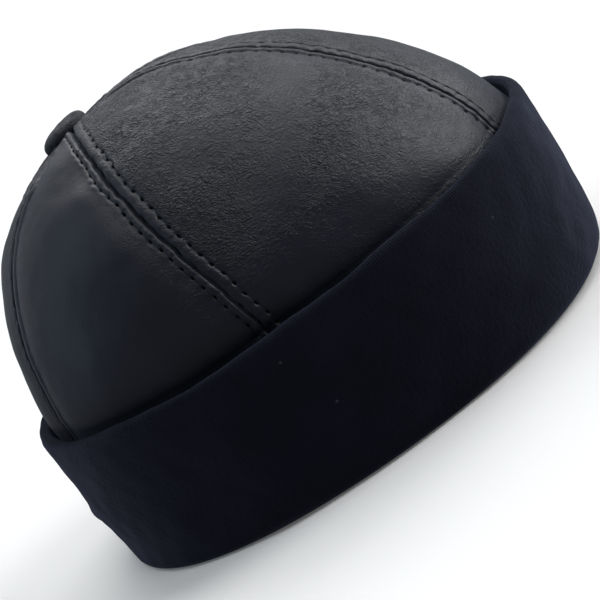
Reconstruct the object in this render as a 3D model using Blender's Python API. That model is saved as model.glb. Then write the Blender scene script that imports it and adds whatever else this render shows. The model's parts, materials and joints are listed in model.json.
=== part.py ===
"""Leather beanie: six leather gores, a turned-up knit cuff and a covered top button.

Frame: metres, +Z up, origin at the middle of the rim's footprint, the brow towards -Y,
the wearer's left towards +X. All sizes in the tables are millimetres.
"""
import math

import bmesh
import bpy
import numpy as np
from mathutils import Vector

MM = 0.001

# ---- driving sizes (mm) ---------------------------------------------------------------
CUFF_HEIGHT = 62.0          # rim to the top of the turned-up cuff, at the sides
CUFF_RISE_FRONT = 4.3       # the cuff stands this much higher over the brow ...
CUFF_RISE_BACK = -1.6       # ... and this much lower at the nape
CUFF_PLAN_BULGE = 0.031     # how far the plan bulges past an ellipse on its diagonals
CROWN_PLAN_BULGE = 0.024    # the same for the leather where it enters the cuff
CROWN_CENTRE_Z = 60.0       # height from which the crown's profile is measured
LEATHER = 1.8               # leather wall
SEAM_GAP = 0.32             # clear gap between two gores
BUTT_GAP = 0.35             # clear gap between the leather's lower edge and the knit
LEATHER_LOW_Z = 24.4        # the leather ends here, hidden behind the cuff
CROWN_HALF_WIDTH = 87.4     # half width of the crown at CROWN_CENTRE_Z
CROWN_SHIFT_X = 2.0         # the crown's apex sits this far to the wearer's left
APEX_ANGLE = 111.75         # apex of the gores, degrees from the brow over the top
APEX_SHARE = 0.030          # share of the crown left open at the apex, under the button
INNER_LEG = 2.5             # knit wall inside
SLOT = 0.7                  # slit between the two legs of the folded cuff
SLOT_FLOOR = 6.0            # where the slit ends above the rim
INNER_ROUND = 1.6           # rounding of the rim's inner edge
BUTTON_R = 10.4             # covered button
BUTTON_H = 5.1
BUTTON_BACK = 3.7           # the button is sewn this far behind the apex of the gores
BUTTON_LEFT = 6.0           # and this far to the wearer's left
BUTTON_GAP = 0.35

PANEL_COLUMNS = 10
RING_STEPS = 72

# outer face of the cuff before its edges are rounded: half lengths from the middle
CUFF_FACE = (
    # z,   front,  back,  side
    (0.0, 103.4, 108.9, 91.4),
    (10.0, 107.4, 109.7, 93.2),
    (25.0, 109.5, 110.8, 94.5),
    (45.0, 110.8, 111.1, 95.2),
    (57.0, 110.9, 110.7, 95.0),
    (68.0, 110.6, 110.3, 94.7),
)

# thickness of the turned-up leg and its roundings, by direction
CUFF_LEG = (
    # direction, leg, top fold, rim rounding
    ("front", 4.4, 4.7, 4.2),
    ("side", 4.2, 5.6, 3.4),
    ("back", 3.8, 4.0, 2.7),
)

# the crown's profile in its middle plane: angle from the brow over the top, radius
CROWN_PROFILE = (
    # angle, radius
    (0, 105.6), (18, 96.2), (36, 89.1), (54, 86.4), (72, 86.0), (90, 87.9),
    (108, 89.0), (126, 95.5), (144, 102.3), (162, 103.6), (180, 105.4),
)

# the leather behind the cuff, outer face
SKIRT = (
    # z,   front,  back,  side
    (60.0, 105.6, 105.4, 87.4),
    (42.0, 105.0, 105.1, 88.3),
    (24.4, 104.0, 105.2, 88.8),
)

# the six seams: stretched angle at the cuff (0 brow, 90 the wearer's left), swing at the apex
SEAMS = (
    # name, angle, swing
    ("front_right", -27.0, 16.0),
    ("side_right", -95.0, -3.0),
    ("back_right", -153.4, -4.0),
    ("back_left", 153.4, 4.0),
    ("side_left", 95.0, 3.0),
    ("front_left", 27.0, -16.0),
)
PANELS = (
    # node, seam it starts from, seam it ends at
    ("crown_panel_front", "front_right", "front_left"),
    ("crown_panel_front_left", "front_left", "side_left"),
    ("crown_panel_back_left", "side_left", "back_left"),
    ("crown_panel_back", "back_left", "back_right"),
    ("crown_panel_back_right", "back_right", "side_right"),
    ("crown_panel_front_right", "side_right", "front_right"),
)

# soft dents and swellings of the cuff's face: direction (degrees, 0 brow, -90 the wearer's
# right), height, depth inwards (minus swells), half widths along and up
CUFF_DENTS = (
    # angle,  z,   depth, along, up
    (-172.0, 38.0, 0.9, 16.0, 6.0),
    (-172.0, 24.0, -1.5, 20.0, 5.0),
    (172.0, 40.0, 1.0, 18.0, 9.0),
    (-74.0, 5.0, 0.9, 11.0, 9.0),
    (-112.0, 8.0, -0.8, 14.0, 9.0),
    (-30.0, 30.0, 0.8, 22.0, 14.0),
    (60.0, 30.0, 1.0, 24.0, 12.0),
    (115.0, 22.0, -0.8, 20.0, 10.0),
)
# soft hollows of the leather: stretched angle, share from apex to cuff, depth, half widths
CROWN_DENTS = (
    # angle, share, depth, along (deg), down (share)
    (-50.0, 0.56, 1.3, 10.0, 0.14),
    (-70.0, 0.68, 1.3, 10.0, 0.14),
    (-124.0, 0.62, -0.7, 12.0, 0.25),
    (50.0, 0.56, 1.3, 10.0, 0.14),
    (70.0, 0.68, 1.3, 10.0, 0.14),
    (124.0, 0.70, 0.8, 12.0, 0.20),
    (180.0, 0.55, -0.5, 14.0, 0.22),
)


# ---- small helpers -----------------------------------------------------------------------
def spline(rows, column):
    """Natural cubic through a table's column over its first column."""
    x = np.array([row[0] for row in rows], float)
    y = np.array([row[column] for row in rows], float)
    n = len(x)
    a = np.zeros((n, n))
    b = np.zeros(n)
    a[0, 0] = a[-1, -1] = 1.0
    for i in range(1, n - 1):
        h0, h1 = x[i] - x[i - 1], x[i + 1] - x[i]
        a[i, i - 1], a[i, i], a[i, i + 1] = h0, 2 * (h0 + h1), h1
        b[i] = 6 * ((y[i + 1] - y[i]) / h1 - (y[i] - y[i - 1]) / h0)
    m = np.linalg.solve(a, b)

    def value(q):
        i = int(min(max(np.searchsorted(x, q) - 1, 0), n - 2))
        h = x[i + 1] - x[i]
        u, v = (x[i + 1] - q) / h, (q - x[i]) / h
        return (u * y[i] + v * y[i + 1]
                + ((u ** 3 - u) * m[i] + (v ** 3 - v) * m[i + 1]) * h * h / 6)

    return value


def by_direction(t, front, side, back):
    """A smooth value around the cap from its values at the brow, sides and nape."""
    c = math.cos(t)
    return side + (front - back) / 2 * c + ((front + back) / 2 - side) * c * c


def wrap(angle):
    return (angle + 180.0) % 360.0 - 180.0


def blend(x, low, high):
    q = min(max((x - low) / (high - low), 0.0), 1.0)
    return q * q * (3 - 2 * q)


def plan(t, front, back, side, bulge):
    """A point of the cap's plan: x to the wearer's left, y towards the nape."""
    k = 1.0 + bulge * math.sin(2 * t) ** 2
    forward = (front - back) / 2 + (front + back) / 2 * math.cos(t) * k
    return side * math.sin(t) * k, -forward


# ---- the cuff ------------------------------------------------------------------------------
face_front, face_back, face_side = (spline(CUFF_FACE, i) for i in (1, 2, 3))


def cuff_height(t):
    return CUFF_HEIGHT + by_direction(t, CUFF_RISE_FRONT, 0.0, CUFF_RISE_BACK)


def cuff_dent(t, z):
    total = 0.0
    for angle, height, depth, along, up in CUFF_DENTS:
        arc = math.radians(wrap(math.degrees(t) - angle)) * 103.0
        total += depth * math.exp(-(arc / along) ** 2 - ((z - height) / up) ** 2)
    return total * blend(z, 0.0, 4.0) * (1 - blend(z, 52.0, 60.0))


def cuff_point(t, depth, z):
    """A point `depth` inside the cuff's outer face at height z."""
    d = depth + cuff_dent(t, z)
    x, y = plan(t, face_front(z) - d, face_back(z) - d, face_side(z) - d, CUFF_PLAN_BULGE)
    return Vector((x * MM, y * MM, z * MM))


def cuff_section(t):
    """Depth and height of each station round the folded cuff, counted from the rim's flat
    outwards, up the face, over the top fold, down the slit, up the inner leg and back."""
    leg, fold, rim = (by_direction(t, *(row[i] for row in CUFF_LEG)) for i in (1, 2, 3))
    top = cuff_height(t)
    inside = leg + SLOT + INNER_LEG
    stations = []
    for a in (90, 60, 30, 0):
        a = math.radians(a)
        stations.append((rim * (1 - math.cos(a)), rim * (1 - math.sin(a))))
    stations += [(0.0, z) for z in (12.0, 20.0, 28.0, 37.0, 47.0, 55.0)]
    r = fold / 2
    for a in (0, 30, 60, 90, 120, 150, 180):
        a = math.radians(a)
        stations.append((r * (1 - math.cos(a)), top - r * 1.05 * (1 - math.sin(a))))
    stations += [((leg + fold) / 2, 48.0), (leg, 38.0), (leg, 22.0), (leg, SLOT_FLOOR)]
    stations += [(leg + SLOT, SLOT_FLOOR), (leg + SLOT, LEATHER_LOW_Z - BUTT_GAP)]
    stations += [(inside, LEATHER_LOW_Z - BUTT_GAP), (inside, 12.0), (inside, INNER_ROUND)]
    stations += [(inside - INNER_ROUND * 0.3, INNER_ROUND * 0.3), (inside - INNER_ROUND, 0.0)]
    return stations


def make_cuff():
    bm = bmesh.new()
    rings = []
    for i in range(RING_STEPS):
        t = 2 * math.pi * i / RING_STEPS
        rings.append([bm.verts.new(cuff_point(t, d, z)) for d, z in cuff_section(t)])
    count = len(rings[0])
    for i in range(RING_STEPS):
        a, b = rings[i], rings[(i + 1) % RING_STEPS]
        for j in range(count):
            k = (j + 1) % count
            bm.faces.new((a[j], b[j], b[k], a[k]))
    return bm


# ---- the crown -----------------------------------------------------------------------------
profile = spline(CROWN_PROFILE, 1)
skirt_rows = sorted(SKIRT)
skirt_front, skirt_back, skirt_side = (spline(skirt_rows, i) for i in (1, 2, 3))


def profile_point(angle):
    r = profile(angle)
    a = math.radians(angle)
    return r * math.cos(a), CROWN_CENTRE_Z + r * math.sin(a)


def crown_dent(t, s):
    total = 0.0
    for angle, share, depth, along, down in CROWN_DENTS:
        total += depth * math.exp(-(wrap(math.degrees(t) - angle) / along) ** 2
                                  - ((s - share) / down) ** 2)
    return total * blend(s, 0.05, 0.25) * (1 - blend(s, 0.93, 1.0))


def crown_surface(t, s):
    """The leather's outer face without its dents: t goes round, s from the apex (0) to the
    height of the cuff's top (1), and on to the hidden lower edge (2)."""
    if s <= 1.0:
        ff, fz = profile_point(APEX_ANGLE * (1 - s))
        bf, bz = profile_point(APEX_ANGLE + (180 - APEX_ANGLE) * s)
        side = CROWN_HALF_WIDTH * math.sin(math.pi / 2 * s)
        k = 1.0 + CROWN_PLAN_BULGE * blend(s, 0.45, 1.0) * math.sin(2 * t) ** 2
        forward = (ff + bf) / 2 + (ff - bf) / 2 * math.cos(t) * k
        z = (fz + bz) / 2 + (fz - bz) / 2 * math.cos(t) * k
        x = side * math.sin(t) * k + CROWN_SHIFT_X * (1 - s) ** 1.5
        return Vector((x, -forward, z))
    z = CROWN_CENTRE_Z + (LEATHER_LOW_Z - CROWN_CENTRE_Z) * (s - 1.0)
    x, y = plan(t, skirt_front(z), skirt_back(z), skirt_side(z), CROWN_PLAN_BULGE)
    return Vector((x, y, z))


def crown_normal(t, s):
    e = 1e-3
    s0, s1 = max(s - e, 1e-4), min(s + e, 2.0)
    dt = crown_surface(t + e, s) - crown_surface(t - e, s)
    ds = crown_surface(t, s1) - crown_surface(t, s0)
    n = ds.cross(dt)
    return n.normalized()


def crown_point(t, s, inside=0.0):
    n = crown_normal(t, s)
    return (crown_surface(t, s) - n * (crown_dent(t, min(s, 1.0)) + inside)) * MM


def seam_angle(name, s):
    for seam, angle, swing in SEAMS:
        if seam == name:
            return math.radians(angle + swing * (1 - min(s, 1.0)))
    raise ValueError(name)


S_ROWS = [APEX_SHARE, 0.07, 0.13, 0.21, 0.30, 0.39, 0.48, 0.57, 0.66, 0.75, 0.83, 0.90,
          0.95, 1.0, 1.35, 1.7, 2.0]


def make_panel(start, end):
    bm = bmesh.new()
    outer, inner = [], []
    for s in S_ROWS:
        a, b = seam_angle(start, s), seam_angle(end, s)
        if b < a:
            b += 2 * math.pi
        speed_a = (crown_surface(a + 1e-3, s) - crown_surface(a - 1e-3, s)).length / 2e-3
        speed_b = (crown_surface(b + 1e-3, s) - crown_surface(b - 1e-3, s)).length / 2e-3
        a += SEAM_GAP / 2 / speed_a
        b -= SEAM_GAP / 2 / speed_b
        row_o, row_i = [], []
        for j in range(PANEL_COLUMNS + 1):
            t = a + (b - a) * j / PANEL_COLUMNS
            row_o.append(bm.verts.new(crown_point(t, s)))
            row_i.append(bm.verts.new(crown_point(t, s, LEATHER)))
        outer.append(row_o)
        inner.append(row_i)
    rows, cols = len(S_ROWS) - 1, PANEL_COLUMNS
    for i in range(rows):
        for j in range(cols):
            bm.faces.new((outer[i][j], outer[i + 1][j], outer[i + 1][j + 1], outer[i][j + 1]))
            bm.faces.new((inner[i][j], inner[i][j + 1], inner[i + 1][j + 1], inner[i + 1][j]))
        bm.faces.new((outer[i][0], inner[i][0], inner[i + 1][0], outer[i + 1][0]))
        bm.faces.new((outer[i][cols], outer[i + 1][cols], inner[i + 1][cols], inner[i][cols]))
    for j in range(cols):
        bm.faces.new((outer[0][j], outer[0][j + 1], inner[0][j + 1], inner[0][j]))
        bm.faces.new((outer[rows][j], inner[rows][j], inner[rows][j + 1], outer[rows][j + 1]))
    return bm


# ---- the button ----------------------------------------------------------------------------
def make_button():
    """A covered dome whose underside follows the leather under it."""
    apex = crown_surface(0.0, 1e-3)
    up = sum((crown_normal(math.radians(a), 0.02) for a in range(0, 360, 30)),
             Vector((0, 0, 0))).normalized()
    left = Vector((1, 0, 0))
    left = (left - up * left.dot(up)).normalized()
    back = up.cross(left).normalized()
    # the leather near the apex as a bowl: height over the tangent plane
    rows, heights = [], []
    for s in (0.03, 0.06, 0.09, 0.12, 0.15):
        for a in range(0, 360, 15):
            p = crown_surface(math.radians(a), s) - apex
            u, v = p.dot(left), p.dot(back)
            rows.append((1, u, v, u * u, u * v, v * v))
            heights.append(p.dot(up))
    coef = np.linalg.lstsq(np.array(rows), np.array(heights), rcond=None)[0]

    def ground(u, v):
        return float(np.dot(coef, (1, u, v, u * u, u * v, v * v)))

    steps = 32
    # share of the radius, height over the leather under it (None: over the middle)
    under = ((0.30, BUTTON_GAP), (0.70, BUTTON_GAP), (0.94, BUTTON_GAP + 0.05))
    dome = [(math.cos(math.radians(a)), math.sin(math.radians(a))) for a in (14, 30, 48, 66, 80)]
    bm = bmesh.new()

    def ring(r, height):
        out = []
        for i in range(steps):
            a = 2 * math.pi * i / steps
            u, v = BUTTON_LEFT + r * math.cos(a), BUTTON_BACK + r * math.sin(a)
            p = apex + left * u + back * v + up * (ground(u, v) + height)
            out.append(bm.verts.new(p * MM))
        return out

    rings = [ring(BUTTON_R * share, height) for share, height in under]
    rings.append(ring(BUTTON_R, BUTTON_GAP + 0.75))
    rings += [ring(BUTTON_R * c, BUTTON_GAP + 0.75 + (BUTTON_H - 0.75) * h) for c, h in dome]
    low = bm.verts.new((apex + left * BUTTON_LEFT + back * BUTTON_BACK
                        + up * (ground(BUTTON_LEFT, BUTTON_BACK) + BUTTON_GAP)) * MM)
    high = bm.verts.new((apex + left * BUTTON_LEFT + back * BUTTON_BACK
                         + up * (ground(BUTTON_LEFT, BUTTON_BACK) + BUTTON_GAP + BUTTON_H)) * MM)
    for a, b in zip(rings, rings[1:]):
        for i in range(steps):
            k = (i + 1) % steps
            bm.faces.new((a[i], a[k], b[k], b[i]))
    for i in range(steps):
        k = (i + 1) % steps
        bm.faces.new((low, rings[0][k], rings[0][i]))
        bm.faces.new((high, rings[-1][i], rings[-1][k]))
    return bm


# ---- objects and materials -------------------------------------------------------------------
def material(name, colour, roughness):
    mat = bpy.data.materials.new(name)
    mat.use_nodes = True
    shader = mat.node_tree.nodes["Principled BSDF"]
    shader.inputs["Base Color"].default_value = (*colour, 1.0)
    shader.inputs["Roughness"].default_value = roughness
    shader.inputs["Metallic"].default_value = 0.0
    mat.diffuse_color = (*colour, 1.0)
    return mat


def add(name, bm, mat, sharp=35.0):
    bmesh.ops.recalc_face_normals(bm, faces=bm.faces)
    bmesh.ops.triangulate(bm, faces=bm.faces)
    mesh = bpy.data.meshes.new(name)
    bm.to_mesh(mesh)
    bm.free()
    if sum((p.center.dot(p.normal) * p.area for p in mesh.polygons)) < 0:
        mesh.flip_normals()
    mesh.shade_smooth()
    mesh.set_sharp_from_angle(angle=math.radians(sharp))
    obj = bpy.data.objects.new(name, mesh)
    obj.data.materials.append(mat)
    bpy.context.scene.collection.objects.link(obj)
    return obj


def main():
    for obj in list(bpy.data.objects):
        bpy.data.objects.remove(obj, do_unlink=True)
    for name, start, end in PANELS:
        leather = material(name + "_leather", (0.030, 0.031, 0.034), 0.48)
        add(name, make_panel(start, end), leather)
    add("cuff", make_cuff(), material("cuff_knit", (0.016, 0.017, 0.023), 0.9), 50.0)
    add("top_button", make_button(), material("button_leather", (0.030, 0.032, 0.037), 0.45))


main()
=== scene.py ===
"""The looks of a leather beanie: six nappa gores with topstitched seams, a turned-up cuff of
fine knit and a covered top button, on a plain pale floor."""
import json
import math

import bpy
import numpy as np
from mathutils import Matrix, Vector

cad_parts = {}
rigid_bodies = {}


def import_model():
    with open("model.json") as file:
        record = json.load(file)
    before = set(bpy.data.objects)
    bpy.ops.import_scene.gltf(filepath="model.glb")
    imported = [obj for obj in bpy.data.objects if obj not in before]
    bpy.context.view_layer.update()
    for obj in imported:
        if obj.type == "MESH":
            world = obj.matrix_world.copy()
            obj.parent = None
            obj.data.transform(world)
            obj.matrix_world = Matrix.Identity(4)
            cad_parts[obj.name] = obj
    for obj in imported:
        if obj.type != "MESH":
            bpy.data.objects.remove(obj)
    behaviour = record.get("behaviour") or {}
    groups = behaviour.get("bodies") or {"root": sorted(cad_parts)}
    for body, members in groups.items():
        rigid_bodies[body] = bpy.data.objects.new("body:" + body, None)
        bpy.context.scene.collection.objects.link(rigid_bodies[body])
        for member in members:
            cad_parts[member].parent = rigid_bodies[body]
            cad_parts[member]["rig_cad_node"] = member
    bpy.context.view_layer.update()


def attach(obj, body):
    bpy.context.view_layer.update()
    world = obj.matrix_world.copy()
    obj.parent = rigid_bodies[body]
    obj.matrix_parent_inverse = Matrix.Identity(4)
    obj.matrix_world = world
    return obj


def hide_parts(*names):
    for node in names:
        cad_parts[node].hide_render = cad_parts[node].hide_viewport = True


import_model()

MM = 0.001

# =========================================================================================
# sizes and tables, in millimetres, the same as the part's own
# =========================================================================================
CUFF_HEIGHT = 62.0
CUFF_RISE_FRONT = 4.3
CUFF_RISE_BACK = -1.6
CUFF_PLAN_BULGE = 0.031
CROWN_PLAN_BULGE = 0.024
CROWN_CENTRE_Z = 60.0
LEATHER = 1.8
LEATHER_LOW_Z = 24.4
CROWN_HALF_WIDTH = 87.4
CROWN_SHIFT_X = 2.0
APEX_ANGLE = 111.75
APEX_SHARE = 0.030
BUTT_GAP = 0.35
INNER_LEG = 2.5
SLOT = 0.7
SLOT_FLOOR = 6.0
INNER_ROUND = 1.6
BUTTON_R = 10.4
BUTTON_H = 5.1
BUTTON_BACK = 3.7
BUTTON_LEFT = 6.0
BUTTON_GAP = 0.35

CUFF_FACE = (
    # z,   front,  back,  side
    (0.0, 103.4, 108.9, 91.4),
    (10.0, 107.4, 109.7, 93.2),
    (25.0, 109.5, 110.8, 94.5),
    (45.0, 110.8, 111.1, 95.2),
    (57.0, 110.9, 110.7, 95.0),
    (68.0, 110.6, 110.3, 94.7),
)
CUFF_LEG = (
    # direction, leg, top fold, rim rounding
    ("front", 4.4, 4.7, 4.2),
    ("side", 4.2, 5.6, 3.4),
    ("back", 3.8, 4.0, 2.7),
)
CROWN_PROFILE = (
    # angle, radius
    (0, 105.6), (18, 96.2), (36, 89.1), (54, 86.4), (72, 86.0), (90, 87.9),
    (108, 89.0), (126, 95.5), (144, 102.3), (162, 103.6), (180, 105.4),
)
SKIRT = (
    # z,   front,  back,  side
    (24.4, 104.0, 105.2, 88.8),
    (42.0, 105.0, 105.1, 88.3),
    (60.0, 105.6, 105.4, 87.4),
)
SEAMS = {
    # name: (angle at the cuff, swing at the apex)
    "front_right": (-27.0, 16.0),
    "side_right": (-95.0, -3.0),
    "back_right": (-153.4, -4.0),
    "back_left": (153.4, 4.0),
    "side_left": (95.0, 3.0),
    "front_left": (27.0, -16.0),
}
PANELS = (
    ("crown_panel_front", "front_right", "front_left"),
    ("crown_panel_front_left", "front_left", "side_left"),
    ("crown_panel_back_left", "side_left", "back_left"),
    ("crown_panel_back", "back_left", "back_right"),
    ("crown_panel_back_right", "back_right", "side_right"),
    ("crown_panel_front_right", "side_right", "front_right"),
)
CUFF_DENTS = (
    # angle,  z,   depth, along, up
    (-172.0, 38.0, 0.9, 16.0, 6.0),
    (-172.0, 24.0, -1.5, 20.0, 5.0),
    (172.0, 40.0, 1.0, 18.0, 9.0),
    (-74.0, 5.0, 0.9, 11.0, 9.0),
    (-112.0, 8.0, -0.8, 14.0, 9.0),
    (-30.0, 30.0, 0.8, 22.0, 14.0),
    (60.0, 30.0, 1.0, 24.0, 12.0),
    (115.0, 22.0, -0.8, 20.0, 10.0),
)
CROWN_DENTS = (
    # angle, share, depth, along (deg), down (share)
    (-124.0, 0.62, -0.7, 12.0, 0.25),
    (124.0, 0.70, 0.8, 12.0, 0.20),
    (180.0, 0.55, -0.5, 14.0, 0.22),
)

HOLLOW = ((42.0, 0.50), (80.0, 0.75))      # the hollow's two ends: angle, share
HOLLOW_DEPTH = 0.9
HOLLOW_WIDTH = 13.0
SMOOTH_BAND = ((33.0, 0.57), (74.0, 0.80))  # the hide is stretched smooth beside it
PEAK_HEIGHT = 1.2         # the six seams pile up under the button
PEAK_REACH = 15.0

# the seams' relief (mm)
CREASE_DEPTH = 1.55       # the two turned edges roll down into the crease
CREASE_WIDTH = 0.68
CREASE_GAP = 0.28       # from the crease to each gore's edge
CREASE_SWAY = 0.17        # how far the crease wanders
MEET = 0.01               # inside, the gores all but touch
TURN_IN = 1.5             # and their turned edges stand in a little
RIDGE_HEIGHT = 0.80       # the opened allowance lifts the leather beside the crease
STITCH_FROM_CREASE = {"start": 4.7, "end": 3.4}   # start: the gore that begins at the seam
STITCH_PITCH = 5.0
STITCH_SINK = 0.22        # the stitches pull a groove
HOLE_DEPTH = 0.85         # and a pit where the thread bites in
THREAD_R = 0.36
THREAD_SHARE = 0.44       # share of the pitch where the thread shows
VALLEY_DEPTH = 1.5        # the gores puff out between their seams
VALLEY_WIDTH = 8.0
TUCK_DEPTH = 1.6          # the cuff's tight edge presses the leather in
TUCK_REACH = 5.5
ROW_STRENGTH = {           # how far the stitches bite in, where not fully
    ("back_right", "start"): 0.12,
    ("back_left", "end"): 0.12,
    ("front_right", "start"): 1.6,
    ("front_left", "end"): 1.6,
    ("front_right", "end"): 0.55,
    ("front_left", "start"): 0.55,
}


# =========================================================================================
# curves and fields
# =========================================================================================
def spline(rows, column):
    """Natural cubic through a table's column over its first column, for arrays."""
    x = np.array([row[0] for row in rows], float)
    y = np.array([row[column] for row in rows], float)
    n = len(x)
    a = np.zeros((n, n))
    b = np.zeros(n)
    a[0, 0] = a[-1, -1] = 1.0
    for i in range(1, n - 1):
        h0, h1 = x[i] - x[i - 1], x[i + 1] - x[i]
        a[i, i - 1], a[i, i], a[i, i + 1] = h0, 2 * (h0 + h1), h1
        b[i] = 6 * ((y[i + 1] - y[i]) / h1 - (y[i] - y[i - 1]) / h0)
    m = np.linalg.solve(a, b)

    def value(q):
        q = np.asarray(q, float)
        i = np.clip(np.searchsorted(x, q) - 1, 0, n - 2)
        h = x[i + 1] - x[i]
        u, v = (x[i + 1] - q) / h, (q - x[i]) / h
        return (u * y[i] + v * y[i + 1]
                + ((u ** 3 - u) * m[i] + (v ** 3 - v) * m[i + 1]) * h * h / 6)

    return value


def wrap(angle):
    return (angle + 180.0) % 360.0 - 180.0


def step(x, low, high):
    q = np.clip((np.asarray(x, float) - low) / (high - low), 0.0, 1.0)
    return q * q * (3 - 2 * q)


def by_direction(t, front, side, back):
    c = np.cos(t)
    return side + (front - back) / 2 * c + ((front + back) / 2 - side) * c * c


def plan(t, front, back, side, bulge):
    k = 1.0 + bulge * np.sin(2 * t) ** 2
    forward = (front - back) / 2 + (front + back) / 2 * np.cos(t) * k
    return side * np.sin(t) * k, -forward


class Waves:
    """A smooth random field: a sum of plane waves with lengths within a band (mm)."""

    def __init__(self, seed, short, long, count=28, stretch=(1.0, 1.0, 1.0)):
        rng = np.random.default_rng(seed)
        d = rng.normal(size=(count, 3))
        d /= np.linalg.norm(d, axis=1)[:, None]
        length = np.exp(rng.uniform(math.log(short), math.log(long), count))
        self.k = d * (2 * math.pi / length)[:, None] / np.array(stretch)
        self.phase = rng.uniform(0, 2 * math.pi, count)
        self.scale = math.sqrt(2.0 / count)

    def __call__(self, p):
        flat = p.reshape(-1, 3)
        total = np.zeros(len(flat))
        for k, phase in zip(self.k, self.phase):
            total += np.sin(flat @ k + phase)
        return (total * self.scale).reshape(p.shape[:-1])


profile = spline(CROWN_PROFILE, 1)
skirt_front, skirt_back, skirt_side = (spline(SKIRT, i) for i in (1, 2, 3))
face_front, face_back, face_side = (spline(CUFF_FACE, i) for i in (1, 2, 3))


def profile_point(angle):
    r = profile(angle)
    a = np.radians(angle)
    return r * np.cos(a), CROWN_CENTRE_Z + r * np.sin(a)


def crown_surface(t, s):
    """The leather's outer face: t goes round, s from the apex (0) to the cuff (1) and on
    behind it to the hidden edge (2)."""
    t, s = np.broadcast_arrays(np.asarray(t, float), np.asarray(s, float))
    q = np.minimum(s, 1.0)
    ff, fz = profile_point(APEX_ANGLE * (1 - q))
    bf, bz = profile_point(APEX_ANGLE + (180 - APEX_ANGLE) * q)
    side = CROWN_HALF_WIDTH * np.sin(math.pi / 2 * q)
    k = 1.0 + CROWN_PLAN_BULGE * step(q, 0.45, 1.0) * np.sin(2 * t) ** 2
    forward = (ff + bf) / 2 + (ff - bf) / 2 * np.cos(t) * k
    z = (fz + bz) / 2 + (fz - bz) / 2 * np.cos(t) * k
    x = side * np.sin(t) * k + CROWN_SHIFT_X * (1 - q) ** 1.5
    top = np.stack([x, -forward, z], -1)
    zz = CROWN_CENTRE_Z + (LEATHER_LOW_Z - CROWN_CENTRE_Z) * (np.maximum(s, 1.0) - 1.0)
    lx, ly = plan(t, skirt_front(zz), skirt_back(zz), skirt_side(zz), CROWN_PLAN_BULGE)
    low = np.stack([lx, ly, zz], -1)
    return np.where((s > 1.0)[..., None], low, top)


def crown_normal(t, s):
    e = 2e-3
    dt = crown_surface(t + e, s) - crown_surface(t - e, s)
    ds = crown_surface(t, np.minimum(s + e, 2.0)) - crown_surface(t, np.maximum(s - e, 1e-4))
    n = np.cross(ds, dt)
    return n / np.linalg.norm(n, axis=-1, keepdims=True)


def crown_dent(t, s):
    total = 0.0
    for angle, share, depth, along, down in CROWN_DENTS:
        total = total + depth * np.exp(-(wrap(np.degrees(t) - angle) / along) ** 2
                                       - ((s - share) / down) ** 2)
    return total * step(s, 0.05, 0.25) * (1 - step(s, 0.93, 1.0))


def band_distance(points, ends):
    """Distance (mm) from a straight band that runs down each front side gore."""
    near = np.full(points.shape[:-1], 1e3)
    for side in (-1, 1):
        a, b = (crown_surface(math.radians(side * angle), s) for angle, s in ends)
        q = np.clip(((points - a) @ (b - a)) / (b - a).dot(b - a), 0, 1)
        near = np.minimum(near, np.linalg.norm(points - a - q[..., None] * (b - a), axis=-1))
    return near


def hollow(points):
    """The soft hollow down each front side gore, less the rise towards the button."""
    apex = crown_surface(0.0, 1e-3)
    rise = PEAK_HEIGHT * np.exp(-(np.linalg.norm(points - apex, axis=-1) / PEAK_REACH) ** 2)
    return HOLLOW_DEPTH * np.exp(-(band_distance(points, HOLLOW) / HOLLOW_WIDTH) ** 2) - rise


def seam_angle(name, s):
    angle, swing = SEAMS[name]
    return np.radians(angle + swing * (1 - np.minimum(s, 1.0)))


def speed(t, s):
    return np.linalg.norm(crown_surface(t + 1e-3, s) - crown_surface(t - 1e-3, s), axis=-1) / 2e-3


# =========================================================================================
# mesh helpers
# =========================================================================================
def new_object(name, verts, faces, smooth=True, scale=MM):
    mesh = bpy.data.meshes.new(name)
    verts = np.asarray(verts, np.float32) * scale
    loops = np.concatenate([np.asarray(f, np.int32).ravel() for f in faces])
    totals = np.concatenate([np.full(len(f), np.asarray(f).shape[1], np.int32) for f in faces])
    mesh.vertices.add(len(verts))
    mesh.vertices.foreach_set("co", verts.ravel())
    mesh.loops.add(len(loops))
    mesh.loops.foreach_set("vertex_index", loops)
    mesh.polygons.add(len(totals))
    mesh.polygons.foreach_set("loop_start", np.concatenate([[0], np.cumsum(totals)[:-1]]).astype(np.int32))
    mesh.polygons.foreach_set("loop_total", totals)
    mesh.update(calc_edges=True)
    mesh.validate()
    if smooth:
        mesh.shade_smooth()
    obj = bpy.data.objects.new(name, mesh)
    bpy.context.scene.collection.objects.link(obj)
    return obj


def vector_attribute(obj, name, values):
    a = obj.data.attributes.new(name, "FLOAT_VECTOR", "POINT")
    a.data.foreach_set("vector", np.asarray(values, np.float32).ravel())


def float_attribute(obj, name, values):
    a = obj.data.attributes.new(name, "FLOAT", "POINT")
    a.data.foreach_set("value", np.asarray(values, np.float32).ravel())


def grid_faces(rows, cols, base=0, flip=False, closed=False):
    """Quads of a rows x cols grid of vertices; closed joins the last column to the first."""
    i = np.arange(rows - 1)[:, None]
    j = np.arange(cols if closed else cols - 1)[None, :]
    k = (j + 1) % cols
    quads = np.stack([i * cols + j + 0 * k, (i + 1) * cols + j + 0 * k, (i + 1) * cols + k,
                      i * cols + k], -1)
    quads = quads.reshape(-1, 4) + base
    return quads[:, ::-1] if flip else quads


# =========================================================================================
# leather gores
# =========================================================================================
undulate = Waves(11, 22.0, 60.0)
ripple = Waves(12, 7.0, 16.0, 36)
wobble = Waves(13, 14.0, 40.0)
pucker_size = Waves(14, 9.0, 24.0)
sway = Waves(15, 5.0, 13.0, 36)
open_edge = Waves(16, 3.0, 8.0, 36)
crinkle = Waves(17, 2.4, 6.0, 48)


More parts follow.
